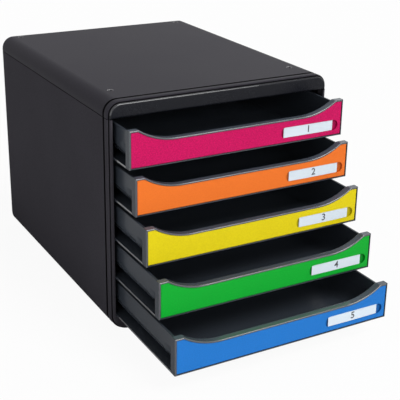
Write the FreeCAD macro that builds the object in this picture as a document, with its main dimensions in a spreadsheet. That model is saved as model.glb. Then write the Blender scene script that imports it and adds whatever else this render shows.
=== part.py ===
# Desktop drawer unit: a moulded casing with five sliding trays, each with a coloured front plate.
# Millimetres. The front faces -Y and the desk is Z = 0 under the middle of the casing.
import os

import FreeCAD
import Part
import Sketcher
from FreeCAD import Vector

SIZES = {
    # Casing
    "caseWidth": 278,
    "caseDepth": 347,
    "panelWall": 2.8,
    "rimWidth": 4.8,          # thickness of the panels' front rim
    "rimDepth": 11,           # from the front edge back to the rim groove
    "grooveWidth": 3.6,
    "grooveDepth": 1.8,
    "edgeFillet": 1.5,        # back edges of the casing
    "frameFillet": 1.2,       # front edge of the panels' inner frame
    "seamGroove": 0.8,        # height of the groove under the cover's seam
    "seamDepth": 0.6,
    "backThick": 3,
    "backInset": 1.2,         # back panel in from the casing's back edges
    # Base
    "footHeight": 2.5,
    "footRadius": 2.5,
    "baseSpace": 20.5,        # casing's underside to the lowest drawer's underside
    "baseRadius": 20,         # long bottom edges
    "baseInset": 0.6,         # step from the panels in to the base
    "baseSeamRise": 11,       # casing's underside up to that step
    "sillThick": 3,
    "sillGap": 1.5,           # sill to the lowest drawer
    # Cover and header
    "coverGap": 2,            # first drawer's top to the cover's seam
    "coverHeight": 18,
    "coverRadius": 15,
    "coverWall": 3.4,
    "coverFillet": 1.4,       # front edge of the casing's outer ring
    "headerThick": 2.5,
    "headerInset": 2.2,       # header and frame inside the outer ring
    "headerReveal": 0.8,      # shadow gap between header and cover
    "headerFillet": 2,        # front edge of the header
    "headerLip": 6,           # how far the header's lip plugs into the cover
    "lipWall": 1.8,
    "stackInset": 23,         # feet and dimples from the sides
    "stackFront": 45.5,       # from the front
    "stackBack": 9.5,         # from the back
    "dimpleClear": 0.3,
    "dimpleDepth": 1.6,
    "dimpleBevel": 0.7,       # sloping rim of each dimple
    # Drawer fronts
    "drawerPitch": 46.5,
    "frontHeight": 42,
    "frontDepth": 10,
    "drawerGap": 0.7,         # front's side to the casing's rim
    "frontFillet": 1.2,       # front edge
    "lipFillet": 3,           # back edge of the scoop
    "shoulderWidth": 9.6,     # flat part of the top edge at each side
    "shoulderRadius": 4,
    "scoopRadius": 76,
    "scoopDrop": 13.7,        # depth of the finger scoop
    # Trays
    "trayInset": 4.2,         # tray's sides in from the front's
    "rimDrop": 4.2,           # tray's rim below the front's shoulders
    "trayWall": 3,
    "trayFloor": 2.2,
    "rimFillet": 0.9,         # both edges of the tray's rim
    "bowlHeight": 23,         # lower part with the rounded corners
    "bowlRadius": 21,         # its bottom edge
    "bowlFrontRadius": 28,    # its front corners, seen from above
    "bowlBackRadius": 24,
    "backClear": 4.8,         # closed tray to the back panel
    "flangeThick": 2,
    "flangeRoot": 4,          # flange's overlap with the tray's flat floor
    # Runners and stops
    "railGap": 0.3,           # rail to the tray's flange
    "railThick": 2.7,
    "railOverlap": 4.5,       # rail under the flange
    "railSetback": 0.5,       # rails behind the front sill
    "drawerTravel": 240,
    "stopClear": 0.5,
    "stopLength": 6,
    "stopHeight": 8,
    "stopRise": 25,           # stop above the drawer's underside
    "lugSetback": 22,         # tray's lug from the tray's back end
    "lugClear": 1,            # lug to the panel
    "bossClear": 0.6,         # boss to the tray's side
    # Front plates and labels
    "border": 1.6,            # tray's frame round the plate
    "plateThick": 3,
    "plateSet": 0.5,          # plate's face behind the frame's
    "plateGap": 0.35,
    "plateFillet": 0.6,
    "backingWall": 2,
    "pinRadius": 2,
    "pinClear": 0.2,
    "pinTip": 1,
    "pinRise": 12,
    "pinSide": 20,            # outer pins from the front's sides
    "pinMiddle": 35,          # inner pins from the middle
    "labelLength": 77,
    "labelHeight": 12.4,
    "labelInset": 5.9,        # recess from the front's right side
    "labelRise": 13.2,        # middle of the recess above the front's bottom
    "labelDepth": 1.2,
    "notchDepth": 2.4,        # finger notches at the recess's ends
    "cardLength": 66,
    "cardShift": 1.4,         # card left of the recess's middle
    "cardGap": 0.3,
    "cardThick": 0.8,
    # How far each drawer stands out, from the top one down
    "openingA": 40,
    "openingB": 54,
    "openingC": 78,
    "openingD": 107,
    "openingE": 142,
}
OPENINGS = ["openingA", "openingB", "openingC", "openingD", "openingE"]
STEPS = len(OPENINGS) - 1

doc = FreeCAD.newDocument("DrawerUnit")
dim = doc.addObject("Spreadsheet::Sheet", "dim")
for row, (alias, size) in enumerate(SIZES.items(), 1):
    dim.set(f"A{row}", alias)
    dim.set(f"B{row}", str(size))
    dim.setAlias(f"B{row}", alias)
doc.recompute()

# Shared levels, as expressions of the sheet
HALF = "(dim.caseWidth / 2)"
FRONT = "(-dim.caseDepth / 2)"
BACK = "(dim.caseDepth / 2)"
LOWEST = "(dim.footHeight + dim.baseSpace)"
SEAM = f"({LOWEST} + {STEPS} * dim.drawerPitch + dim.frontHeight + dim.coverGap)"
TOP = f"({SEAM} + dim.coverHeight)"
BASE_SEAM = "(dim.footHeight + dim.baseSeamRise)"
ARC_X = f"({HALF} - dim.baseRadius)"
ARC_Z = "(dim.footHeight + dim.baseRadius - dim.baseInset)"
INNER = f"({HALF} - dim.panelWall)"
RING_STEP = "(dim.headerThick + dim.headerReveal)"
COVER_FRONT = f"({FRONT} + {RING_STEP})"
SILL_BACK = f"({COVER_FRONT} + dim.sillThick)"
STACK_X = f"({HALF} - dim.stackInset)"
STACK_FRONT = f"({FRONT} + dim.stackFront)"
STACK_BACK = f"({BACK} - dim.stackBack)"
FRONT_HALF = f"({HALF} - dim.rimWidth - dim.drawerGap)"
TRAY_HALF = f"({FRONT_HALF} - dim.trayInset)"
TRAY_RIM = "(dim.frontHeight - dim.rimDrop)"
BACK_PANEL = f"({BACK} - dim.backInset - dim.backThick)"
TRAY_LENGTH = f"({BACK_PANEL} - {FRONT} - dim.backClear)"
PLATE_BACK = "(dim.plateSet + dim.plateThick)"
SCOOP_LOW = "(dim.frontHeight - dim.scoopDrop)"
LABEL_X = f"({FRONT_HALF} - dim.labelInset - dim.labelLength / 2)"


def value(expression):
    return float(dim.evalExpression(str(expression)))


def minus(expression):
    return f"-({expression})"


def add_arc(sketch, start, end, radius, turn):
    # The short arc from start to end; turn is 1 anticlockwise and -1 clockwise.
    chord = end - start
    rise = max(radius ** 2 - chord.Length ** 2 / 4, 0) ** 0.5
    side = Vector(-chord.y, chord.x, 0).normalize() * turn
    middle = (start + end) / 2 + side * (rise - radius)
    first, last = (start, end) if turn > 0 else (end, start)
    return sketch.addGeometry(Part.ArcOfCircle(first, middle, last))


def bind(sketch, limits, bindings):
    # Adds dimensions and ties each one to its expression.
    first = sketch.ConstraintCount
    sketch.addConstraint(limits)
    for k, binding in enumerate(bindings):
        sketch.setExpression(f"Constraints[{first + k}]", str(binding))


def add_outline(sketch, corners):
    # A corner is (u, v), or (u, v, radius, turn) where an arc arrives at it.
    points = [Vector(value(corner[0]), value(corner[1]), 0) for corner in corners]
    ends = []
    limits = []
    bindings = []
    for k, corner in enumerate(corners):
        if len(corner) == 2:
            geo = sketch.addGeometry(Part.LineSegment(points[k - 1], points[k]))
            ends.append((geo, 1, 2))
        else:
            radius = value(corner[2])
            turn = corner[3]
            geo = add_arc(sketch, points[k - 1], points[k], radius, turn)
            ends.append((geo, 1, 2) if turn > 0 else (geo, 2, 1))
            limits.append(Sketcher.Constraint("Radius", geo, radius))
            bindings.append(corner[2])
        limits.append(Sketcher.Constraint("DistanceX", -1, 1, geo, ends[k][2], points[k].x))
        limits.append(Sketcher.Constraint("DistanceY", -1, 1, geo, ends[k][2], points[k].y))
        bindings += corner[:2]
    for k, (geo, start, _) in enumerate(ends):
        before, _, stop = ends[k - 1]
        limits.append(Sketcher.Constraint("Coincident", before, stop, geo, start))
    bind(sketch, limits, bindings)


def add_circle(sketch, u, v, radius):
    centre = Vector(value(u), value(v), 0)
    geo = sketch.addGeometry(Part.Circle(centre, Vector(0, 0, 1), value(radius)))
    limits = [
        Sketcher.Constraint("Radius", geo, value(radius)),
        Sketcher.Constraint("DistanceX", -1, 1, geo, 3, centre.x),
        Sketcher.Constraint("DistanceY", -1, 1, geo, 3, centre.y),
    ]
    bind(sketch, limits, [radius, u, v])


def new_body(name):
    body = doc.addObject("PartDesign::Body", name)
    body.Label = name
    return body


def origin_part(body, role):
    return next(f for f in body.Origin.OriginFeatures if f.Role == role)


def new_sketch(body, plane, level, outlines=(), circles=()):
    # A flat drawing at a level along the plane's own axis: Z for XY, Y for XZ, X for YZ.
    sketch = body.newObject("Sketcher::SketchObject", "Outline")
    sketch.AttachmentSupport = [(origin_part(body, f"{plane}_Plane"), "")]
    sketch.MapMode = "FlatFace"
    offset = minus(level) if plane == "XZ" else str(level)
    sketch.setExpression(".AttachmentOffset.Base.z", offset)
    for corners in outlines:
        add_outline(sketch, corners)
    for circle in circles:
        add_circle(sketch, *circle)
    return sketch


def add_pad(body, plane, level, length, outlines=(), circles=()):
    # Material from the level towards +X, +Y or +Z.
    sketch = new_sketch(body, plane, level, outlines, circles)
    pad = body.newObject("PartDesign::Pad", "Pad")
    pad.Profile = sketch
    pad.Reversed = plane == "XZ"
    pad.setExpression("Length", length)
    return pad


def add_pocket(body, plane, level, length, outlines=(), circles=()):
    # A cut from the level towards +X, +Y or +Z.
    sketch = new_sketch(body, plane, level, outlines, circles)
    pocket = body.newObject("PartDesign::Pocket", "Pocket")
    pocket.Profile = sketch
    pocket.Reversed = plane != "XZ"
    pocket.setExpression("Length", length)
    return pocket


def add_fillet(body, radius, test):
    # Rounds the edges of the body so far that pass the test.
    doc.recompute()
    tip = body.Tip
    names = [f"Edge{k}" for k, edge in enumerate(tip.Shape.Edges, 1) if test(edge)]
    fillet = body.newObject("PartDesign::Fillet", "Fillet")
    fillet.Base = (tip, names)
    fillet.setExpression("Radius", radius)
    return fillet


def add_chamfer(body, size, test):
    # Bevels the edges of the body so far that pass the test.
    doc.recompute()
    tip = body.Tip
    names = [f"Edge{k}" for k, edge in enumerate(tip.Shape.Edges, 1) if test(edge)]
    chamfer = body.newObject("PartDesign::Chamfer", "Chamfer")
    chamfer.Base = (tip, names)
    chamfer.setExpression("Size", size)
    return chamfer


def lies_at(edge, axis, expression):
    # True when the whole edge lies at that level along an axis.
    level = value(expression)
    low = getattr(edge.BoundBox, f"{axis}Min")
    high = getattr(edge.BoundBox, f"{axis}Max")
    return abs(low - level) < 0.01 and abs(high - level) < 0.01


def place(thing, x="0", y="0", z="0"):
    thing.setExpression(".Placement.Base.x", x)
    thing.setExpression(".Placement.Base.y", y)
    thing.setExpression(".Placement.Base.z", z)


def rectangle(left, right, low, high):
    return [(left, low), (right, low), (right, high), (left, high)]


# Casing outlines, seen from the front


def base_reach(radius):
    # Half width of the rounded long edge at the base seam.
    return f"({ARC_X} + sqrt(({radius})^2 - ({ARC_Z} - {BASE_SEAM})^2))"


def side_strip(outset, inset):
    # Left panel's section between two offsets from its outer face.
    outer = f"dim.baseRadius + {outset}"
    inner = f"dim.baseRadius - {inset}"
    return [
        (minus(f"{HALF} + {outset}"), SEAM),
        (minus(f"{HALF} + {outset}"), ARC_Z),
        (minus(base_reach(outer)), BASE_SEAM, outer, 1),
        (minus(base_reach(inner)), BASE_SEAM),
        (minus(f"{HALF} - {inset}"), ARC_Z, inner, -1),
        (minus(f"{HALF} - {inset}"), SEAM),
    ]


def arch(inset):
    # Cover's outline, moved in from its outer face.
    side = f"{HALF} - ({inset})"
    crown = f"{TOP} - ({inset})"
    radius = f"dim.coverRadius - ({inset})"
    spring = f"{TOP} - dim.coverRadius"
    flat = f"{HALF} - dim.coverRadius"
    return [
        (minus(side), SEAM),
        (minus(side), spring),
        (minus(flat), crown, radius, -1),
        (flat, crown),
        (side, spring, radius, -1),
        (side, SEAM),
    ]


def hollow_arch(outer, inner):
    # The band between two arches: along the outer one, then back along the inner one.
    radius = f"dim.coverRadius - ({inner})"
    foot_right, side_right, crown_right, crown_left, side_left, foot_left = arch(inner)[::-1]
    return arch(outer) + [
        foot_right,
        side_right[:2],
        crown_right[:2] + (radius, 1),
        crown_left[:2],
        side_left[:2] + (radius, 1),
        foot_left,
    ]


def make_left_panel():
    body = new_body("left_side_panel")
    add_pad(body, "XZ", FRONT, "dim.caseDepth", [side_strip("0", "dim.panelWall")])
    rim_length = "dim.rimDepth + dim.grooveWidth"
    add_pad(body, "XZ", FRONT, rim_length, [side_strip("0", "dim.rimWidth")])
    # The outer ring steps back behind the frame that carries on from the header
    add_pocket(body, "XZ", FRONT, RING_STEP, [side_strip("1", "dim.headerInset")])
    outermost = -value(HALF) + 0.01
    frame_side = -value(f"{HALF} - dim.headerInset") + 0.01
    add_fillet(body, "dim.coverFillet", lambda e: e.BoundBox.XMin < outermost
               and lies_at(e, "Y", COVER_FRONT) and not lies_at(e, "Z", SEAM))
    add_fillet(body, "dim.frameFillet", lambda e: e.BoundBox.XMin < frame_side
               and lies_at(e, "Y", FRONT) and not lies_at(e, "Z", SEAM) and not lies_at(e, "Z", BASE_SEAM))
    add_fillet(body, "dim.edgeFillet", lambda e: e.BoundBox.XMin < outermost
               and lies_at(e, "Y", BACK) and not lies_at(e, "Z", SEAM))
    seam_groove = rectangle(
        minus(f"{HALF} + 1"), minus(f"{HALF} - dim.seamDepth"),
        f"{SEAM} - dim.seamGroove", f"{SEAM} + 1")
    add_pocket(body, "XZ", FRONT, "dim.caseDepth", [seam_groove])
    add_pocket(body, "XZ", f"{FRONT} + dim.rimDepth", "dim.grooveWidth",
               [side_strip("1", "dim.grooveDepth")])
    # Lowest runner rail and stop boss, repeated for every drawer
    rail_inner = minus(f"{FRONT_HALF} - dim.railOverlap")
    rail_root = minus(f"{INNER} + dim.panelWall / 2")
    rail_top = f"{LOWEST} - dim.railGap"
    rail = add_pad(body, "XZ", f"{SILL_BACK} + dim.railSetback",
                   f"{BACK_PANEL} - {SILL_BACK} - dim.railSetback",
                   [rectangle(rail_root, rail_inner, f"{rail_top} - dim.railThick", rail_top)])
    boss_end = minus(f"{FRONT_HALF} + dim.bossClear")
    boss_low = f"{LOWEST} + dim.stopRise"
    lug_front = f"{TRAY_LENGTH} - dim.lugSetback - dim.stopLength"
    boss_back = f"{FRONT} - dim.drawerTravel + {lug_front} - dim.stopClear"
    boss = add_pad(body, "XZ", f"{boss_back} - dim.stopLength", "dim.stopLength",
                   [rectangle(rail_root, boss_end, boss_low, f"{boss_low} + dim.stopHeight")])
    runners = body.newObject("PartDesign::LinearPattern", "Runners")
    runners.Originals = [rail, boss]
    runners.Direction = (origin_part(body, "Z_Axis"), [""])
    runners.setExpression("Length", f"{STEPS} * dim.drawerPitch")
    runners.Occurrences = len(OPENINGS)
    body.Tip = runners
    return body


def make_right_panel(left):
    panel = doc.addObject("Part::Mirroring", "right_side_panel")
    panel.Label = "right_side_panel"
    panel.Source = left
    panel.Normal = Vector(1, 0, 0)
    return panel


def make_base():
    body = new_body("base_tray")
    outer = "dim.baseRadius - dim.baseInset"
    inner = "dim.baseRadius - dim.panelWall"
    frame = "dim.baseRadius - dim.headerInset"
    rim = "dim.baseRadius - dim.rimWidth"
    floor = f"{ARC_Z} - ({inner})"
    frame_low = f"{ARC_Z} - ({frame})"
    sill_top = f"{LOWEST} - dim.sillGap"
    sill_half = f"({ARC_X} + sqrt(({rim})^2 - ({ARC_Z} - ({sill_top}))^2))"
    trough = [
        (minus(base_reach(outer)), BASE_SEAM),
        (minus(ARC_X), "dim.footHeight", outer, 1),
        (ARC_X, "dim.footHeight"),
        (base_reach(outer), BASE_SEAM, outer, 1),
        (base_reach(inner), BASE_SEAM),
        (ARC_X, floor, inner, -1),
        (minus(ARC_X), floor),
        (minus(base_reach(inner)), BASE_SEAM, inner, -1),
    ]
    sill = [
        (minus(base_reach(frame)), BASE_SEAM),
        (minus(ARC_X), frame_low, frame, 1),
        (ARC_X, frame_low),
        (base_reach(frame), BASE_SEAM, frame, 1),
        (base_reach(rim), BASE_SEAM),
        (sill_half, sill_top, rim, 1),
        (minus(sill_half), sill_top),
        (minus(base_reach(rim)), BASE_SEAM, rim, 1),
    ]
    add_pad(body, "XZ", COVER_FRONT, f"{BACK} - {COVER_FRONT}", [trough])
    lowest = value("dim.footHeight") + 0.01
    add_fillet(body, "dim.coverFillet", lambda e: lies_at(e, "Y", COVER_FRONT) and e.BoundBox.ZMin < lowest)
    add_pad(body, "XZ", FRONT, f"{SILL_BACK} - {FRONT}", [sill])
    return body


def make_back():
    body = new_body("back_panel")
    inner = "dim.baseRadius - dim.panelWall"
    floor = f"{ARC_Z} - ({inner})"
    add_pad(body, "XZ", BACK_PANEL, "dim.backThick", [[
        (minus(INNER), SEAM),
        (minus(INNER), ARC_Z),
        (minus(ARC_X), floor, inner, 1),
        (ARC_X, floor),
        (INNER, ARC_Z, inner, 1),
        (INNER, SEAM),
    ]])
    return body


def on_arch(edge):
    # True for an edge on the cover's outer face.
    box = edge.BoundBox
    return max(box.XMax, -box.XMin) > value(HALF) - 0.01 or box.ZMax > value(TOP) - 0.01


def make_cover():
    body = new_body("top_cover")
    add_pad(body, "XZ", COVER_FRONT, f"{BACK} - {COVER_FRONT}", [hollow_arch("0", "dim.coverWall")])
    add_pad(body, "XZ", f"{BACK} - dim.coverWall", "dim.coverWall", [arch("0")])
    add_fillet(body, "dim.edgeFillet",
               lambda e: lies_at(e, "Y", BACK) and not lies_at(e, "Z", SEAM))
    add_fillet(body, "dim.coverFillet", lambda e: lies_at(e, "Y", COVER_FRONT)
               and not lies_at(e, "Z", SEAM) and on_arch(e))
    add_pocket(body, "XZ", f"{FRONT} + dim.rimDepth", "dim.grooveWidth",
               [hollow_arch("-1", "dim.grooveDepth")])
    dimple = "dim.footRadius + dim.dimpleClear"
    add_pocket(body, "XY", f"{TOP} - dim.dimpleDepth", "dim.dimpleDepth + 1", (), [
        (minus(STACK_X), STACK_FRONT, dimple),
        (STACK_X, STACK_FRONT, dimple),
        (minus(STACK_X), STACK_BACK, dimple),
        (STACK_X, STACK_BACK, dimple),
    ])
    add_chamfer(body, "dim.dimpleBevel",
                lambda e: lies_at(e, "Z", TOP) and e.Curve.TypeId == "Part::GeomCircle")
    return body


def make_header():
    body = new_body("header_fascia")
    add_pad(body, "XZ", FRONT, "dim.headerThick", [arch("dim.headerInset")])
    add_fillet(body, "dim.headerFillet", lambda e: lies_at(e, "Y", FRONT))
    add_pad(body, "XZ", f"{FRONT} + dim.headerThick", "dim.headerReveal + dim.headerLip",
            [hollow_arch("dim.coverWall", "dim.coverWall + dim.lipWall")])
    return body


def make_feet():
    feet = []
    for end, y in (("front", STACK_FRONT), ("rear", STACK_BACK)):
        for side, x in (("left", minus(STACK_X)), ("right", STACK_X)):
            foot = doc.addObject("Part::Cylinder", f"foot_{end}_{side}")
            foot.Label = f"foot_{end}_{side}"
            foot.setExpression("Radius", "dim.footRadius")
            foot.setExpression("Height", "dim.footHeight")
            place(foot, x, y)
            feet.append(foot)
    return feet


# Drawer outlines, in a drawer's own frame: front face Y = 0, underside Z = 0


def front_outline(inset):
    # Front with its finger scoop: two rounded shoulders that flow into a wide low dip.
    side = f"{FRONT_HALF} - ({inset})"
    crest = f"dim.frontHeight - ({inset})"
    dip = f"{SCOOP_LOW} - ({inset})"
    shoulder = f"({FRONT_HALF} - dim.shoulderWidth)"
    sum_radius = "(dim.shoulderRadius + dim.scoopRadius)"
    run = f"sqrt(2 * dim.scoopDrop * {sum_radius} - dim.scoopDrop^2)"
    convex = f"dim.shoulderRadius - ({inset})"
    concave = f"dim.scoopRadius + ({inset})"
    share = f"(({convex}) / {sum_radius})"
    meet_x = f"({shoulder} - {run} * {share})"
    meet_z = f"(dim.frontHeight - dim.shoulderRadius + ({sum_radius} - dim.scoopDrop) * {share})"
    end_x = f"({shoulder} - {run})"
    return [
        (minus(side), inset),
        (side, inset),
        (side, crest),
        (shoulder, crest),
        (meet_x, meet_z, convex, 1),
        (end_x, dip, concave, -1),
        (minus(end_x), dip),
        (minus(meet_x), meet_z, concave, -1),
        (minus(shoulder), crest, convex, 1),
        (minus(side), crest),
    ]


def tray_plan(inset, front, front_radius):
    # Tray seen from above, with rounded back corners and, in the bowl, rounded front corners.
    side = f"{TRAY_HALF} - ({inset})"
    rear = f"{TRAY_LENGTH} - ({inset})"
    radius = f"dim.bowlBackRadius - ({inset})"
    back_corners = [
        (side, f"{rear} - ({radius})"),
        (f"{side} - ({radius})", rear, radius, 1),
        (minus(f"{side} - ({radius})"), rear),
        (minus(side), f"{rear} - ({radius})", radius, 1),
    ]
    if front_radius is None:
        return [(minus(side), front), (side, front)] + back_corners
    turn = f"{front} + {front_radius}"
    straight = f"{side} - ({front_radius})"
    return [
        (minus(straight), front, front_radius, 1),
        (straight, front),
        (side, turn, front_radius, 1),
    ] + back_corners + [(minus(side), turn)]


def make_tray_blank():
    body = new_body("tray_blank")
    wall = "dim.trayWall"
    shelf = "dim.bowlHeight + dim.trayFloor"
    # Lower bowl with rounded corners, and the straight band above it
    add_pad(body, "XY", "0", "dim.bowlHeight",
            [tray_plan("0", f"dim.frontDepth - {wall}", "dim.bowlFrontRadius")])
    add_pad(body, "XY", "dim.bowlHeight", f"{TRAY_RIM} - dim.bowlHeight",
            [tray_plan("0", "dim.frontDepth", None)])
    add_pocket(body, "XY", shelf, f"{TRAY_RIM} - dim.bowlHeight",
               [tray_plan(wall, "dim.frontDepth", None)])
    add_pocket(body, "XY", "dim.trayFloor", "dim.bowlHeight",
               [tray_plan(wall, "dim.frontDepth", f"(dim.bowlFrontRadius - {wall})")])
    add_fillet(body, f"dim.bowlRadius - {wall}", lambda e: lies_at(e, "Z", "dim.trayFloor"))
    add_fillet(body, "dim.bowlRadius", lambda e: lies_at(e, "Z", "0"))
    add_fillet(body, "dim.rimFillet",
               lambda e: lies_at(e, "Z", TRAY_RIM) and not lies_at(e, "Y", "dim.frontDepth"))
    # Front with its plate recess, hollow from below
    add_pad(body, "XZ", "0", "dim.frontDepth", [front_outline("0")])
    add_fillet(body, "dim.frontFillet", lambda e: lies_at(e, "Y", "0"))
    scoop_end = value(f"{FRONT_HALF} - dim.shoulderWidth") + 0.01
    scoop_low = value(SCOOP_LOW) - 0.01
    add_fillet(body, "dim.lipFillet", lambda e: lies_at(e, "Y", "dim.frontDepth")
               and e.BoundBox.ZMin > scoop_low and max(e.BoundBox.XMax, -e.BoundBox.XMin) < scoop_end)
    add_pocket(body, "XZ", "0", PLATE_BACK, [front_outline("dim.border")])
    hollow_side = f"{FRONT_HALF} - dim.backingWall"
    add_pocket(body, "XY", "-1", f"{SCOOP_LOW} - dim.backingWall + 1", [rectangle(
        minus(hollow_side), hollow_side,
        f"{PLATE_BACK} + dim.backingWall", f"dim.frontDepth - {wall}")])
    # Flanges that ride on the rails, and lugs that meet the stop bosses
    flange_root = f"{TRAY_HALF} - dim.bowlRadius - dim.flangeRoot"
    flange_front = f"dim.frontDepth - {wall} / 2"
    lug_end = f"{INNER} - dim.lugClear"
    lug_root = f"{TRAY_HALF} - {wall} / 2"
    lug_back = f"{TRAY_LENGTH} - dim.lugSetback"
    lug_front = f"{lug_back} - dim.stopLength"
    add_pad(body, "XY", "0", "dim.flangeThick", [
        rectangle(flange_root, FRONT_HALF, flange_front, TRAY_LENGTH),
        rectangle(minus(FRONT_HALF), minus(flange_root), flange_front, TRAY_LENGTH),
    ])
    add_pad(body, "XY", "dim.stopRise", "dim.stopHeight", [
        rectangle(lug_root, lug_end, lug_front, lug_back),
        rectangle(minus(lug_end), minus(lug_root), lug_front, lug_back),
    ])
    return body


def pin_circles(radius):
    outer = f"{FRONT_HALF} - dim.pinSide"
    return [
        (minus(outer), "dim.pinRise", radius),
        ("-dim.pinMiddle", "dim.pinRise", radius),
        ("dim.pinMiddle", "dim.pinRise", radius),
        (outer, "dim.pinRise", radius),
    ]


def make_pin_drill():
    body = new_body("pin_drill")
    add_pad(body, "XZ", f"{PLATE_BACK} - 1", "dim.backingWall + 2", (),
            pin_circles("dim.pinRadius + dim.pinClear"))
    return body


def make_plate_blank():
    body = new_body("plate_blank")
    add_pad(body, "XZ", "dim.plateSet", "dim.plateThick", [front_outline("dim.border + dim.plateGap")])
    add_fillet(body, "dim.plateFillet", lambda e: lies_at(e, "Y", "dim.plateSet"))
    add_pad(body, "XZ", PLATE_BACK, "dim.backingWall + dim.pinTip", (), pin_circles("dim.pinRadius"))
    return body


def make_label_cutter():
    body = new_body("label_cutter")
    radius = "dim.labelHeight / 2"
    left = f"{LABEL_X} - dim.labelLength / 2 + {radius}"
    right = f"{LABEL_X} + dim.labelLength / 2 - {radius}"
    low = f"dim.labelRise - {radius}"
    high = f"dim.labelRise + {radius}"
    # A shallow seat for the card, and a deeper finger notch at each end
    left_notch = [
        (left, high),
        (f"{left} - {radius}", "dim.labelRise", radius, 1),
        (left, low, radius, 1),
    ]
    right_notch = [
        (right, low),
        (f"{right} + {radius}", "dim.labelRise", radius, 1),
        (right, high, radius, 1),
    ]
    add_pad(body, "XZ", "-1", "dim.plateSet + dim.labelDepth + 1", [left_notch + right_notch])
    add_pad(body, "XZ", "-1", "dim.plateSet + dim.notchDepth + 1", [left_notch, right_notch])
    return body


def make_cut(name, base, tool):
    cut = doc.addObject("Part::Cut", name)
    cut.Label = name
    cut.Base = base
    cut.Tool = tool
    return cut


def make_card(name):
    card = doc.addObject("Part::Box", name)
    card.Label = name
    card.setExpression("Length", "dim.cardLength")
    card.setExpression("Width", "dim.cardThick")
    card.setExpression("Height", "dim.labelHeight - 2 * dim.cardGap")
    return card


def make_drawers():
    tray_blank = make_tray_blank()
    plate_blank = make_plate_blank()
    pin_drill = make_pin_drill()
    label_cutter = make_label_cutter()
    pieces = []
    for k, opening in enumerate(OPENINGS):
        number = k + 1
        y = f"{FRONT} - dim.{opening}"
        z = f"{LOWEST} + {STEPS - k} * dim.drawerPitch"
        tray = make_cut(f"drawer_tray_{number}", tray_blank, pin_drill)
        plate = make_cut(f"front_plate_{number}", plate_blank, label_cutter)
        card = make_card(f"label_card_{number}")
        place(tray, "0", y, z)
        place(plate, "0", y, z)
        place(card, f"{LABEL_X} - dim.cardShift - dim.cardLength / 2",
              f"{y} + dim.plateSet + dim.labelDepth - dim.cardThick",
              f"{z} + dim.labelRise - dim.labelHeight / 2 + dim.cardGap")
        pieces += [tray, plate, card]
    return pieces


left_panel = make_left_panel()
nodes = [make_base(), left_panel, make_right_panel(left_panel), make_back(), make_cover(), make_header()]
nodes += make_feet()
nodes += make_drawers()
doc.recompute()

for thing in doc.Objects:
    if "Invalid" in thing.State or "Error" in thing.State:
        raise RuntimeError(f"{thing.Label} did not build: {thing.State}")
os.makedirs("parts", exist_ok=True)
for node in nodes:
    shape = node.Shape
    if shape.isNull() or not shape.isValid() or len(shape.Solids) != 1:
        raise RuntimeError(f"{node.Label} is not one sound solid")
    shape.exportStep(f"parts/{node.Label}.step")
    print(f"{node.Label}: {shape.Volume / 1000:.1f} cm3")
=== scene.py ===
# Desktop drawer unit: finishes, label cards, feet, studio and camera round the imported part. Metres.
import math

import bmesh
import bpy
from mathutils import Matrix, Vector


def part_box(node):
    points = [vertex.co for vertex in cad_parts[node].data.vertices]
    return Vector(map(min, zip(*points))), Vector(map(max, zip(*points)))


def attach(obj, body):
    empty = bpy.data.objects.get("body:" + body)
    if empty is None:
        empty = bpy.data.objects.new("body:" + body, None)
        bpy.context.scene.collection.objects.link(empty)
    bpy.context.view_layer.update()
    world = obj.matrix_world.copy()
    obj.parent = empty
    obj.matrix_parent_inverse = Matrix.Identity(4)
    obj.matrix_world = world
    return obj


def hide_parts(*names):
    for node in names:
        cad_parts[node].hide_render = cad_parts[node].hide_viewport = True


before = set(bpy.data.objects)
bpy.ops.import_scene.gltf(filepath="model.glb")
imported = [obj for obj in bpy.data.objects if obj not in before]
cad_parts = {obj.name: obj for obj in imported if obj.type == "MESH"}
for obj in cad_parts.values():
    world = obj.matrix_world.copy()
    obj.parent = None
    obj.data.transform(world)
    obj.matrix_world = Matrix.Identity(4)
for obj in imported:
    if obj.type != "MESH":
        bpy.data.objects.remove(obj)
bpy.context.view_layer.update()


class Wire:
    # one output socket; plain arithmetic on it adds Math nodes
    def __init__(self, board, socket):
        self.board = board
        self.socket = socket

    def maths(self, operation, *values):
        return self.board.add("ShaderNodeMath", {"operation": operation}, dict(enumerate(values)))

    def __add__(self, other):
        return self.maths("ADD", self, other)

    def __radd__(self, other):
        return self.maths("ADD", other, self)

    def __sub__(self, other):
        return self.maths("SUBTRACT", self, other)

    def __rsub__(self, other):
        return self.maths("SUBTRACT", other, self)

    def __mul__(self, other):
        return self.maths("MULTIPLY", self, other)

    def __rmul__(self, other):
        return self.maths("MULTIPLY", other, self)

    def __truediv__(self, other):
        return self.maths("DIVIDE", self, other)

    def __rtruediv__(self, other):
        return self.maths("DIVIDE", other, self)

    def __pow__(self, other):
        return self.maths("POWER", self, other)

    def __rpow__(self, other):
        return self.maths("POWER", other, self)

    def __gt__(self, other):
        return self.maths("GREATER_THAN", self, other)

    def __lt__(self, other):
        return self.maths("LESS_THAN", self, other)


class Board:
    # a node tree being wired up, for a finish or for a piece that is grown
    def __init__(self, tree):
        self.tree = tree

    def add(self, kind, settings=None, values=None, out=0):
        node = self.tree.nodes.new(kind)
        for key, setting in (settings or {}).items():
            setattr(node, key, setting)
        for key, value in (values or {}).items():
            for item in value if isinstance(value, list) else [value]:
                if isinstance(item, Wire):
                    self.tree.links.new(item.socket, node.inputs[key])
                else:
                    node.inputs[key].default_value = item
        return Wire(self, node.outputs[out]) if node.outputs else node

    def ports(self, kind, values=None):
        # a node with several outputs that are used, by name
        node = self.add(kind, None, values).socket.node
        return {port.name: Wire(self, port) for port in node.outputs}


def emptyBoard(holder):
    holder.use_nodes = True
    holder.node_tree.nodes.clear()
    return Board(holder.node_tree)


def newFinish(name):
    material = bpy.data.materials.new(name)
    board = emptyBoard(material)
    return material, board, board.add("ShaderNodeTexCoord", out="Object")


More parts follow.
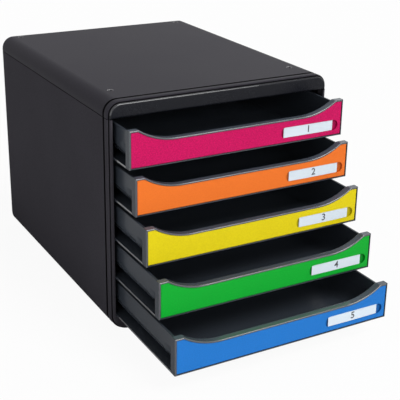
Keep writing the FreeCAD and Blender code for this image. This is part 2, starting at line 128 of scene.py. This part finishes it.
def addNoise(board, place, scale, detail):
    return board.add("ShaderNodeTexNoise", None, {"Vector": place, "Scale": scale, "Detail": detail})


def addBump(board, height, strength, depth):
    return board.add("ShaderNodeBump", None, {"Strength": strength, "Distance": depth, "Height": height})


def mixColours(board, share, first, second):
    ends = [end if isinstance(end, Wire) else (*end, 1) for end in (first, second)]
    values = {"Factor": share, 6: ends[0], 7: ends[1]}
    return board.add("ShaderNodeMix", {"data_type": "RGBA"}, values, out=2)


def closeFinish(board, values):
    shader = board.add("ShaderNodeBsdfPrincipled", None, values)
    board.add("ShaderNodeOutputMaterial", None, {"Surface": shader})


def zoneMask(board, place, zones):
    # 1 inside any of the zones, which are ranges along the axes and don't overlap
    split = board.ports("ShaderNodeSeparateXYZ", {"Vector": place})
    mask = 0.0
    for zone in zones:
        inside = 1.0
        for axis, (low, high) in zone.items():
            inside = (split[axis] > low) * (split[axis] < high) * inside
        mask = inside + mask
    return mask


# what all the moulded finishes share
mouldSkin = {
    "cloudDetail": 3.0, "speckleDetail": 1.0, "pebbleSoftness": 0.6, "toneSpread": 0.5,
    "speckleRough": 0.05, "speckleRelief": 0.5, "polishRoughness": 0.14,
}


def mouldedPlastic(name, look):
    # dyed plastic from a grained mould: soft clouding, fine speckle, a shallow pebbled grain, with painted
    # light and shade in listed zones
    material, board, place = newFinish(name)
    cloud = addNoise(board, place, look["cloudScale"], mouldSkin["cloudDetail"]) - 0.5
    speckle = addNoise(board, place, 1 / look["speckleSize"], mouldSkin["speckleDetail"])
    pebble = board.add("ShaderNodeTexVoronoi", {"feature": "SMOOTH_F1"}, {
        "Vector": place, "Scale": 1 / look["grainSize"], "Smoothness": mouldSkin["pebbleSoftness"]})
    fleck = speckle - 0.5
    shade = cloud * look["cloudDepth"] + fleck * look["speckleDepth"] + 0.5
    light = [min(tone * (1 + mouldSkin["toneSpread"]), 1.0) for tone in look["colour"]]
    dark = [2 * tone - top for tone, top in zip(look["colour"], light)]
    # painted light and shade: listed zones take the colour times a factor, below 1 for painted shade in
    # hollows and gaps, above 1 for painted light
    paintedLightShadeColour = [tone * look["paintedLightShadeScale"] for tone in look["colour"]]
    paintedLightShade = zoneMask(board, place, look["paintedLightShade"])
    colour = mixColours(board, paintedLightShade, mixColours(board, shade, dark, light), paintedLightShadeColour)
    rough = look["roughness"] + cloud * look["roughSpread"] + fleck * mouldSkin["speckleRough"]
    relief = pebble + speckle * mouldSkin["speckleRelief"]
    closeFinish(board, {
        "Base Color": colour, "Roughness": rough, "Specular IOR Level": look["gloss"],
        "Normal": addBump(board, relief, look["grainStrength"], look["grainDepth"]),
        "Coat Weight": zoneMask(board, place, look["polished"]),
        "Coat Roughness": mouldSkin["polishRoughness"], "Coat IOR": look["polish"]})
    return material


def dress(node, material):
    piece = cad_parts[node]
    piece.data.materials.clear()
    piece.data.materials.append(material)


def behind(front, depths):
    return front + depths[0], front + depths[1]


# a zone factor of 0.12 darkens the listed zones to near black as painted shade
casingLook = {
    "colour": (0.0302, 0.0284, 0.0362), "roughness": 0.50, "roughSpread": 0.10, "gloss": 0.035,
    "cloudScale": 9.0, "cloudDepth": 0.35, "speckleSize": 0.0011, "speckleDepth": 0.55,
    "grainSize": 0.0009, "grainStrength": 0.35, "grainDepth": 0.00012,
    "paintedLightShadeScale": 0.12, "polish": 1.5, "polished": [],
}
# painted light: the panels are the top cover's plastic but get a lighter colour, standing in for light on
# the sides
panelLook = {**casingLook, "colour": (0.050, 0.0475, 0.0565), "roughness": 0.70, "gloss": 0.012}
headerLook = {
    **casingLook, "colour": (0.0095, 0.0102, 0.0140), "roughness": 0.27, "gloss": 0.18, "speckleDepth": 0.9,
}
# depths are behind the casing's front, the seam is under the top cover; the groove, the step and the seam
# line get painted shade, and so does the header behind its face
casingZones = {
    "groove": (0.0108, 0.0148), "step": (0.0030, 0.00335), "seamBelow": 0.00085, "seamAbove": 0.001,
    "dimpleReach": 0.1235, "dimpleStart": 0.02, "dimpleDepth": (-0.00075, -0.00004), "dimplePolish": 2.3,
    "headerPaintedShade": (0.0026, 0.02), "headerLift": 0.004,
    "headerShine": [((-0.2, -0.012), (0.00015, 0.0021)), ((-0.012, 0.045), (0.00015, 0.0010))],
}


def dressCasing():
    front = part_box("left_side_panel")[0].y
    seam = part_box("top_cover")[0].z
    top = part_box("top_cover")[1].z
    seamLow = seam - casingZones["seamBelow"]
    rimGroove = {"Y": behind(front, casingZones["groove"])}
    ringStep = {"Y": behind(front, casingZones["step"])}
    belowSeam = {"Z": (0, seamLow)}
    seamLine = {"Z": (seamLow, seam + casingZones["seamAbove"])}
    dimpleEdge = {
        "X": (-casingZones["dimpleReach"], casingZones["dimpleReach"]),
        "Y": (front + casingZones["dimpleStart"], -front), "Z": behind(top, casingZones["dimpleDepth"])}
    headerEdge = [
        {"X": across, "Y": behind(front, depths), "Z": (seam + casingZones["headerLift"], top)}
        for across, depths in casingZones["headerShine"]]
    # painted shade: the rim groove and the ring step on the cover are darkened to stand in for the shadow
    # inside them
    casingBlack = mouldedPlastic("casingBlack", {
        **casingLook, "paintedLightShade": [rimGroove, ringStep],
        "polished": [dimpleEdge], "polish": casingZones["dimplePolish"]})
    # painted shade: the rim groove, the ring step and the seam line on the panels are darkened to stand in
    # for the shadow inside them
    panelBlack = mouldedPlastic("panelBlack", {
        **panelLook, "paintedLightShade": [{**rimGroove, **belowSeam}, {**ringStep, **belowSeam}, seamLine]})
    # painted shade: the header is darkened behind its front face, inside the reveal round it
    headerBlack = mouldedPlastic("headerBlack", {
        **headerLook, "paintedLightShade": [{"Y": behind(front, casingZones["headerPaintedShade"])}], "polished": headerEdge})
    for node in ("base_tray", "left_side_panel", "right_side_panel", "back_panel"):
        dress(node, panelBlack)
    dress("top_cover", casingBlack)
    dress("header_fascia", headerBlack)


dressCasing()
print("casing dressed")

# a zone factor of 2 lightens the lip top as painted light
trayLook = {
    "colour": (0.042, 0.050, 0.063), "roughness": 0.24, "roughSpread": 0.06, "gloss": 0.135,
    "cloudScale": 11.0, "cloudDepth": 0.25, "speckleSize": 0.0012, "speckleDepth": 0.30,
    "grainSize": 0.0008, "grainStrength": 0.25, "grainDepth": 0.00008, "paintedLightShadeScale": 2.0, "polish": 1.75,
}
# a zone factor of 0.66 darkens the label recess as painted shade
plateLook = {
    "roughness": 0.40, "roughSpread": 0.08, "gloss": 0.13,
    "cloudScale": 16.0, "cloudDepth": 0.10, "speckleSize": 0.0014, "speckleDepth": 0.26,
    "grainSize": 0.0009, "grainStrength": 0.22, "grainDepth": 0.00008,
    "paintedLightShadeScale": 0.66, "polish": 1.5, "polished": [],
}
plateColours = {
    "plate_pink": {"colour": (0.545, 0.004, 0.100), "speckleDepth": 0.9},
    "plate_orange": {"colour": (0.795, 0.168, 0.021)},
    "plate_yellow": {"colour": (0.70, 0.575, 0.005)},
    "plate_green": {"colour": (0.003, 0.375, 0.028), "speckleDepth": 0.4},
    "plate_blue": {"colour": (0.013, 0.165, 0.535)},
}
# the lip is the tray's rim round the plate, scooped at the top; its top gets painted light
drawerZones = {
    "margin": 0.001, "lipStart": 0.0012, "lipBack": 0.0101, "lipReach": 0.0012, "shineEnd": 0.085,
    "earTop": 0.0008, "flangeHeight": 0.0021,
    "recessLeft": 0.010, "recessRight": 0.012, "recessDepth": (0.0008, 0.0029),
}


def dressDrawer(number, slotName):
    trayLow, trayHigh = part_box(f"drawer_tray_{number}")
    plateLow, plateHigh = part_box(f"front_plate_{number}")
    cardLow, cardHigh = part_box(f"label_card_{number}")
    margin = drawerZones["margin"]
    reach = drawerZones["lipReach"]
    lipStart = trayLow.y + drawerZones["lipStart"]
    lipBack = trayLow.y + drawerZones["lipBack"]
    lipEdge = {"X": (trayLow.x - margin, plateHigh.x), "Y": (trayLow.y - margin, lipStart)}
    # painted light: the lip's top is lightened to stand in for the bright reflection on it
    lipTop = {"X": (plateLow.x - reach, plateHigh.x + reach), "Y": (lipStart, lipBack)}
    lipShine = {
        "X": (plateLow.x, drawerZones["shineEnd"]), "Y": (lipStart, lipBack),
        "Z": (trayLow.z, trayHigh.z - drawerZones["earTop"])}
    flangeEdge = {
        "Y": (lipBack, trayHigh.y + margin),
        "Z": (trayLow.z - margin, trayLow.z + drawerZones["flangeHeight"])}
    # painted shade: the label recess and its finger notches are darkened to stand in for the shade inside
    # them
    recess = {
        "X": (cardLow.x - drawerZones["recessLeft"], cardHigh.x + drawerZones["recessRight"]),
        "Y": behind(plateLow.y, drawerZones["recessDepth"]), "Z": (cardLow.z - margin, cardHigh.z + margin)}
    # painted light on the lip top; the edges and flange only get a clear coat
    trayGrey = mouldedPlastic(f"trayGrey{number}", {
        **trayLook, "paintedLightShade": [lipTop], "polished": [lipEdge, lipShine, flangeEdge]})
    plateDye = mouldedPlastic(slotName, {**plateLook, **plateColours[slotName], "paintedLightShade": [recess]})
    dress(f"drawer_tray_{number}", trayGrey)
    dress(f"front_plate_{number}", plateDye)


for number, slotName in enumerate(plateColours, 1):
    dressDrawer(number, slotName)
print("trays and plates dressed")


def newGrowTree(name, inputs):
    tree = bpy.data.node_groups.new(name, "GeometryNodeTree")
    tree.interface.new_socket("Geometry", in_out="OUTPUT", socket_type="NodeSocketGeometry")
    for label, kind in inputs.items():
        tree.interface.new_socket(label, in_out="INPUT", socket_type="NodeSocket" + kind)
    board = Board(tree)
    return tree, board, board.ports("NodeGroupInput")


def closeGrowTree(board, geometry, material):
    whole = board.add("GeometryNodeRealizeInstances", None, {"Geometry": geometry})
    done = board.add("GeometryNodeSetMaterial", None, {"Geometry": whole, "Material": material})
    board.add("NodeGroupOutput", None, {"Geometry": done})


def growPiece(name, tree, values, finishing=None):
    piece = bpy.data.objects.new(name, bpy.data.meshes.new(name))
    bpy.context.scene.collection.objects.link(piece)
    grow = piece.modifiers.new("grow", "NODES")
    grow.node_group = tree
    sockets = {item.name: item.identifier for item in tree.interface.items_tree if item.in_out == "INPUT"}
    for label, value in values.items():
        grow[sockets[label]] = value
    if finishing:
        finishing(piece)
    graph = bpy.context.evaluated_depsgraph_get()
    mesh = bpy.data.meshes.new_from_object(piece.evaluated_get(graph), depsgraph=graph)
    piece.modifiers.clear()
    finishes = [material for material in mesh.materials if material]
    mesh.materials.clear()  # the tree leaves an empty first slot
    for material in finishes:
        mesh.materials.append(material)
    for face in mesh.polygons:
        face.material_index = 0
    piece.data = mesh
    mesh.name = name
    return piece


cardLook = {
    "colour": (0.68, 0.755, 0.83), "shade": (0.62, 0.70, 0.775),
    "fibreScale": (400.0, 400.0, 1600.0), "fibreDetail": 4.0, "fibreStrength": 0.2, "fibreDepth": 0.00004,
    "roughness": 0.62, "roughSpread": 0.1, "gloss": 0.3,
    "sheet": 0.00035, "bow": 0.0004, "columns": 41, "rows": 3, "mergeWithin": 0.000001,
}
numeralLook = {
    "ink": (0.035, 0.036, 0.042), "inkPale": (0.07, 0.072, 0.08), "coverScale": 3000.0, "coverDetail": 2.0,
    "roughness": 0.5, "roughSpread": 0.15, "size": 0.0112, "weight": 0.00018, "lift": 0.00003,
}


def labelPaper():
    # coated card with faint fibres
    material, board, place = newFinish("labelPaper")
    stretched = board.add("ShaderNodeMapping", None, {"Vector": place, "Scale": cardLook["fibreScale"]})
    fibre = addNoise(board, stretched, 1.0, cardLook["fibreDetail"])
    closeFinish(board, {
        "Base Color": mixColours(board, fibre, cardLook["shade"], cardLook["colour"]),
        "Roughness": cardLook["roughness"] + (fibre - 0.5) * cardLook["roughSpread"],
        "Normal": addBump(board, fibre, cardLook["fibreStrength"], cardLook["fibreDepth"]),
        "Specular IOR Level": cardLook["gloss"]})
    return material


def numeralInk():
    # printed toner, a little uneven
    material, board, place = newFinish("numeralInk")
    cover = addNoise(board, place, numeralLook["coverScale"], numeralLook["coverDetail"])
    closeFinish(board, {
        "Base Color": mixColours(board, cover, numeralLook["ink"], numeralLook["inkPale"]),
        "Roughness": numeralLook["roughness"] + cover * numeralLook["roughSpread"]})
    return material


def labelCardTree():
    # a thin card lying face up, a little bowed, then stood up to face the front
    tree, board, given = newGrowTree("labelCard", {
        "Length": "Float", "Height": "Float", "Sheet": "Float", "Bow": "Float",
        "Place": "Vector", "Paper": "Material"})
    face = board.add("GeometryNodeMeshGrid", None, {
        "Size X": given["Length"], "Size Y": given["Height"],
        "Vertices X": cardLook["columns"], "Vertices Y": cardLook["rows"]})
    underside = board.add("GeometryNodeFlipFaces", None, {"Mesh": face})
    raised = board.add("GeometryNodeExtrudeMesh", None, {
        "Mesh": face, "Offset Scale": given["Sheet"], "Individual": False})
    solid = board.add("GeometryNodeJoinGeometry", None, {"Geometry": [underside, raised]})
    closed = board.add("GeometryNodeMergeByDistance", None, {
        "Geometry": solid, "Distance": cardLook["mergeWithin"]})
    along = board.add("ShaderNodeSeparateXYZ", None, {"Vector": board.add("GeometryNodeInputPosition")})
    swell = given["Bow"] * (1 - (along / (given["Length"] * 0.5)) ** 2)
    bowed = board.add("GeometryNodeSetPosition", None, {
        "Geometry": closed, "Offset": board.add("ShaderNodeCombineXYZ", None, {"Z": swell})})
    stood = board.add("GeometryNodeTransform", None, {
        "Geometry": bowed, "Rotation": (math.pi / 2, 0, 0), "Translation": given["Place"]})
    closeGrowTree(board, stood, given["Paper"])
    return tree


def numeralMesh(text):
    # a printed figure, flat and face up
    letters = bpy.data.curves.new("numeral", "FONT")
    letters.body = text
    letters.size = numeralLook["size"]
    letters.offset = numeralLook["weight"]
    letters.align_x = "CENTER"
    letters.align_y = "CENTER"
    writer = bpy.data.objects.new("numeral", letters)
    bpy.context.scene.collection.objects.link(writer)
    graph = bpy.context.evaluated_depsgraph_get()
    mesh = bpy.data.meshes.new_from_object(writer.evaluated_get(graph), depsgraph=graph)
    bpy.data.objects.remove(writer)
    return mesh


def printNumeral(card, text, length, place):
    # the figure follows the card's bow and becomes part of it
    mesh = numeralMesh(text)
    stand = Matrix.Translation(Vector(place)) @ Matrix.Rotation(math.pi / 2, 4, "X")
    for point in mesh.vertices:
        swell = cardLook["bow"] * (1 - (2 * point.co.x / length) ** 2)
        point.co.z += cardLook["sheet"] + numeralLook["lift"] + swell
    mesh.transform(stand)
    card.data.materials.append(ink)
    joined = bmesh.new()
    joined.from_mesh(card.data)
    cardFaces = len(joined.faces)
    joined.from_mesh(mesh)
    joined.faces.ensure_lookup_table()
    for printed in joined.faces[cardFaces:]:
        printed.material_index = 1
    joined.to_mesh(card.data)
    joined.free()


paper = labelPaper()
ink = numeralInk()
cardTree = labelCardTree()
for number in range(1, len(plateColours) + 1):
    low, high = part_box(f"label_card_{number}")
    length = high.x - low.x
    place = ((low.x + high.x) / 2, high.y, (low.z + high.z) / 2)
    card = growPiece(f"numbered_card_{number}", cardTree, {
        "Length": length, "Height": high.z - low.z, "Sheet": cardLook["sheet"], "Bow": cardLook["bow"],
        "Place": place, "Paper": paper})
    printNumeral(card, str(number), length, place)
    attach(card, f"drawer_{number}")
    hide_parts(f"label_card_{number}")
print("numbered cards laid in the plates")

feetLook = {
    "colour": (0.012, 0.012, 0.013), "dusty": (0.035, 0.034, 0.033),
    "dustScale": 1400.0, "dustDetail": 3.0, "dustStrength": 0.3, "dustDepth": 0.0001,
    "roughness": 0.8, "roughSpread": 0.15, "gloss": 0.2, "sides": 40, "edge": 0.0004, "edgeSteps": 3,
}


def footRubber():
    material, board, place = newFinish("footRubber")
    dust = addNoise(board, place, feetLook["dustScale"], feetLook["dustDetail"])
    closeFinish(board, {
        "Base Color": mixColours(board, dust, feetLook["colour"], feetLook["dusty"]),
        "Roughness": feetLook["roughness"] + dust * feetLook["roughSpread"],
        "Normal": addBump(board, dust, feetLook["dustStrength"], feetLook["dustDepth"]),
        "Specular IOR Level": feetLook["gloss"]})
    return material


def rubberFeetTree():
    # one turned foot at each corner of a rectangle
    tree, board, given = newGrowTree("rubberFeet", {
        "Radius": "Float", "Height": "Float", "Spacing X": "Float", "Spacing Y": "Float",
        "Middle": "Vector", "Rubber": "Material"})
    corners = board.add("GeometryNodeMeshGrid", None, {
        "Size X": given["Spacing X"], "Size Y": given["Spacing Y"], "Vertices X": 2, "Vertices Y": 2})
    foot = board.add("GeometryNodeMeshCylinder", None, {
        "Vertices": feetLook["sides"], "Radius": given["Radius"], "Depth": given["Height"]})
    placed = board.add("GeometryNodeInstanceOnPoints", None, {"Points": corners, "Instance": foot})
    moved = board.add("GeometryNodeTransform", None, {"Geometry": placed, "Translation": given["Middle"]})
    closeGrowTree(board, moved, given["Rubber"])
    return tree


def roundFeet(piece):
    bevel = piece.modifiers.new("edge", "BEVEL")
    bevel.width = feetLook["edge"]
    bevel.segments = feetLook["edgeSteps"]
    bevel.limit_method = "ANGLE"


footNodes = ["foot_front_left", "foot_front_right", "foot_rear_left", "foot_rear_right"]
nearLow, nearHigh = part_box("foot_front_left")
farLow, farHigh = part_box("foot_rear_right")
feet = growPiece("rubber_feet", rubberFeetTree(), {
    "Radius": (nearHigh.x - nearLow.x) / 2, "Height": nearHigh.z - nearLow.z,
    "Spacing X": farLow.x - nearLow.x, "Spacing Y": farLow.y - nearLow.y,
    "Middle": (nearLow + farHigh) / 2, "Rubber": footRubber()}, roundFeet)
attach(feet, "casing")
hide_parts(*footNodes)
print("feet set under the casing")

studio = {
    "floorSize": 30.0, "floorTone": 0.94, "floorGlow": 0.94, "ambient": 0.2,
    "middle": (0.0, -0.07, 0.13), "sunDistance": 3.0,
    "suns": {
        "keyLight": {"from": (0.30, -0.55, 0.78), "level": 0.565, "spread": 30.0},
        "frontFill": {"from": (0.10, -0.95, 0.30), "level": 0.34, "spread": 26.0},
        "backFill": {"from": (0.85, 0.50, 0.40), "level": 0.14, "spread": 60.0},
    },
    "softboxes": {
        "leftSoftbox": {"at": (-0.90, -0.70, 0.36), "size": 0.5, "power": 1.2},
    },
}


def makeFloor():
    half = studio["floorSize"] / 2
    mesh = bpy.data.meshes.new("floor")
    corners = [(-half, -half, 0), (half, -half, 0), (half, half, 0), (-half, half, 0)]
    mesh.from_pydata(corners, [], [(0, 1, 2, 3)])
    floor = bpy.data.objects.new("floor", mesh)
    bpy.context.scene.collection.objects.link(floor)
    material = bpy.data.materials.new("paleFloor")
    board = emptyBoard(material)
    tone = studio["floorTone"]
    matt = board.add("ShaderNodeBsdfDiffuse", None, {"Color": (tone, tone, tone, 1)})
    glow = board.add("ShaderNodeEmission", None, {"Color": (1, 1, 1, 1), "Strength": 1.0})
    seen = board.add("ShaderNodeLightPath", out="Is Camera Ray")
    blended = board.add("ShaderNodeMixShader", None, {0: seen * studio["floorGlow"], 1: matt, 2: glow})
    board.add("ShaderNodeOutputMaterial", None, {"Surface": blended})
    mesh.materials.append(material)


def makeBackdrop():
    # white to the camera and in reflections, a low even light on the object
    world = bpy.data.worlds.new("studioWorld")
    bpy.context.scene.world = world
    board = emptyBoard(world)
    rays = board.ports("ShaderNodeLightPath")
    seen = rays["Is Camera Ray"] + rays["Is Glossy Ray"] + rays["Is Transmission Ray"]
    white = seen.maths("MINIMUM", seen, 1.0)
    strength = studio["ambient"] + white * (1 - studio["ambient"])
    sky = board.add("ShaderNodeBackground", None, {"Color": (1, 1, 1, 1), "Strength": strength})
    board.add("ShaderNodeOutputWorld", None, {"Surface": sky})


def hangLamp(name, kind, at):
    light = bpy.data.lights.new(name, kind)
    holder = bpy.data.objects.new(name, light)
    bpy.context.scene.collection.objects.link(holder)
    aim = (Vector(studio["middle"]) - at).to_track_quat("-Z", "Y")
    holder.matrix_world = Matrix.Translation(at) @ aim.to_matrix().to_4x4()
    return light


def makeLamps():
    for name, lamp in studio["suns"].items():
        away = Vector(lamp["from"]).normalized() * studio["sunDistance"]
        light = hangLamp(name, "SUN", Vector(studio["middle"]) + away)
        light.energy = lamp["level"] * math.pi
        light.angle = math.radians(lamp["spread"])
    for name, lamp in studio["softboxes"].items():
        light = hangLamp(name, "AREA", Vector(lamp["at"]))
        light.shape = "SQUARE"
        light.size = lamp["size"]
        light.energy = lamp["power"]


makeFloor()
makeBackdrop()
makeLamps()
bpy.context.scene.view_settings.view_transform = "Standard"
print("studio set")

# angles in degrees, focal length in pixels of the photograph
viewpoint = {
    "at": (-0.51727, -1.04355, 0.54895), "azimuth": -29.3, "elevation": 20.43, "roll": 0.9,
    "focal": 954.26, "image": 400, "sensor": 36.0, "shiftY": -0.07, "clipStart": 0.01,
}


def makeCamera():
    azimuth, elevation, roll = (math.radians(viewpoint[key]) for key in ("azimuth", "elevation", "roll"))
    level = math.cos(elevation)
    back = Vector((math.sin(azimuth) * level, -math.cos(azimuth) * level, math.sin(elevation)))
    right = Vector((math.cos(azimuth), math.sin(azimuth), 0))
    up = back.cross(right)
    tiltedRight = math.cos(roll) * right + math.sin(roll) * up
    tiltedUp = math.cos(roll) * up - math.sin(roll) * right
    lens = bpy.data.cameras.new("photoCamera")
    lens.sensor_width = viewpoint["sensor"]
    lens.lens = viewpoint["focal"] * viewpoint["sensor"] / viewpoint["image"]
    lens.shift_y = viewpoint["shiftY"]
    lens.clip_start = viewpoint["clipStart"]
    camera = bpy.data.objects.new("photoCamera", lens)
    bpy.context.scene.collection.objects.link(camera)
    turn = Matrix((tiltedRight, tiltedUp, back)).transposed().to_4x4()
    camera.matrix_world = Matrix.Translation(Vector(viewpoint["at"])) @ turn
    bpy.context.scene.camera = camera


makeCamera()
